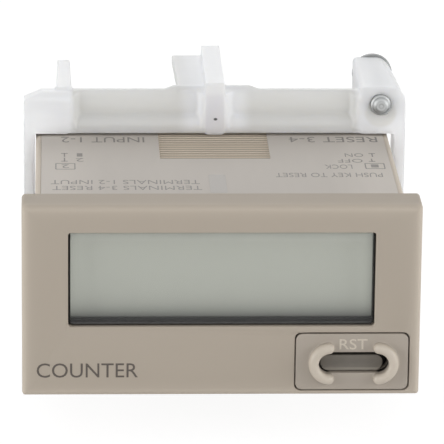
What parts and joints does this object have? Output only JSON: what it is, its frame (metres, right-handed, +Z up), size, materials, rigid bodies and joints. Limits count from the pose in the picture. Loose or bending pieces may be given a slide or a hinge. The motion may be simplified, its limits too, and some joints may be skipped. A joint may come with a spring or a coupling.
{
  "type": "panel counter",
  "caption": "Panel-mount electronic counter with a blank liquid-crystal display, a guarded reset key, side slide switches, rear screw terminals and a ratcheting clamp bracket.",
  "frame": {"origin": "middle of the panel cut-out, on the plane where the bezel's back meets the panel's front face", "axes": "+X to the right seen from the front, +Y to the rear through the panel, +Z up"},
  "size_m": [0.0486, 0.0549, 0.036],
  "materials": {
    "case_plastic": "fine spark-eroded texture, warm beige-grey",
    "window_clear": "clear, polished",
    "display_film": "grey-green film",
    "display_glass": "thin clear glass",
    "white_plastic": "satin moulded",
    "contact_rubber": "layered elastomer",
    "circuit_board": "green lacquered laminate",
    "dark_plastic": "black moulded",
    "plated_steel": "nickel plated",
    "contact_brass": "tinned brass",
    "pad_plastic": "fine texture, slightly pinker than the case",
    "key_plastic": "satin dark grey-brown",
    "component_body": "moulded",
    "battery_sleeve": "plain shrink sleeve",
    "block_plastic": "black moulded",
    "label_film": "satin pale grey film with plain dark print",
    "bracket_plastic": "milky white, smooth",
    "clamp_steel": "zinc plated"
  },
  "bodies": {
    "housing": {"case": "case_plastic", "display_window": "window_clear", "front_polariser": "display_film", "front_glass": "display_glass", "rear_glass": "display_glass", "reflector_film": "display_film", "display_holder": "white_plastic", "contact_strip": "contact_rubber", "display_board": "circuit_board", "counter_chip": "dark_plastic", "timing_crystal": "plated_steel", "board_link_pins": "contact_brass", "reset_pad": "pad_plastic", "reset_switch": "dark_plastic", "main_board": "circuit_board", "input_components": "component_body", "battery_cell": "battery_sleeve", "battery_tab_positive": "plated_steel", "battery_tab_negative": "plated_steel", "key_switch_body": "dark_plastic", "range_switch_body": "dark_plastic", "terminal_block": "block_plastic", "terminal_contacts": "contact_brass", "terminal_washers": "plated_steel", "terminal_screws": "plated_steel", "rating_label": "label_film"},
    "reset_key": {"reset_button": "key_plastic"},
    "key_slider": {"key_switch_slider": "white_plastic"},
    "range_slider": {"range_switch_slider": "white_plastic"},
    "bracket": {"mounting_bracket": "bracket_plastic"},
    "upper_screw": {"clamp_screw_upper": "clamp_steel"},
    "lower_screw": {"clamp_screw_lower": "clamp_steel"}
  },
  "joints": [
    {"name": "reset_press", "type": "slide", "parent": "housing", "child": "reset_key", "axis": [0, 1, 0], "range_m": [0, 0.0007], "stiffness_N_per_m": 900},
    {"name": "key_protect_slide", "type": "slide", "parent": "housing", "child": "key_slider", "axis": [0, 1, 0], "range_m": [0, 0.002]},
    {"name": "range_select_slide", "type": "slide", "parent": "housing", "child": "range_slider", "axis": [0, 1, 0], "range_m": [0, 0.002]},
    {"name": "bracket_slide", "type": "slide", "parent": "housing", "child": "bracket", "axis": [0, 1, 0], "range_m": [-0.0265, 0.021]},
    {"name": "clamp_screw_upper_slide", "type": "slide", "parent": "bracket", "child": "upper_screw", "axis": [0, 1, 0], "range_m": [0, 0.01]},
    {"name": "clamp_screw_lower_slide", "type": "slide", "parent": "bracket", "child": "lower_screw", "axis": [0, 1, 0], "range_m": [0, 0.01]}
  ]
}
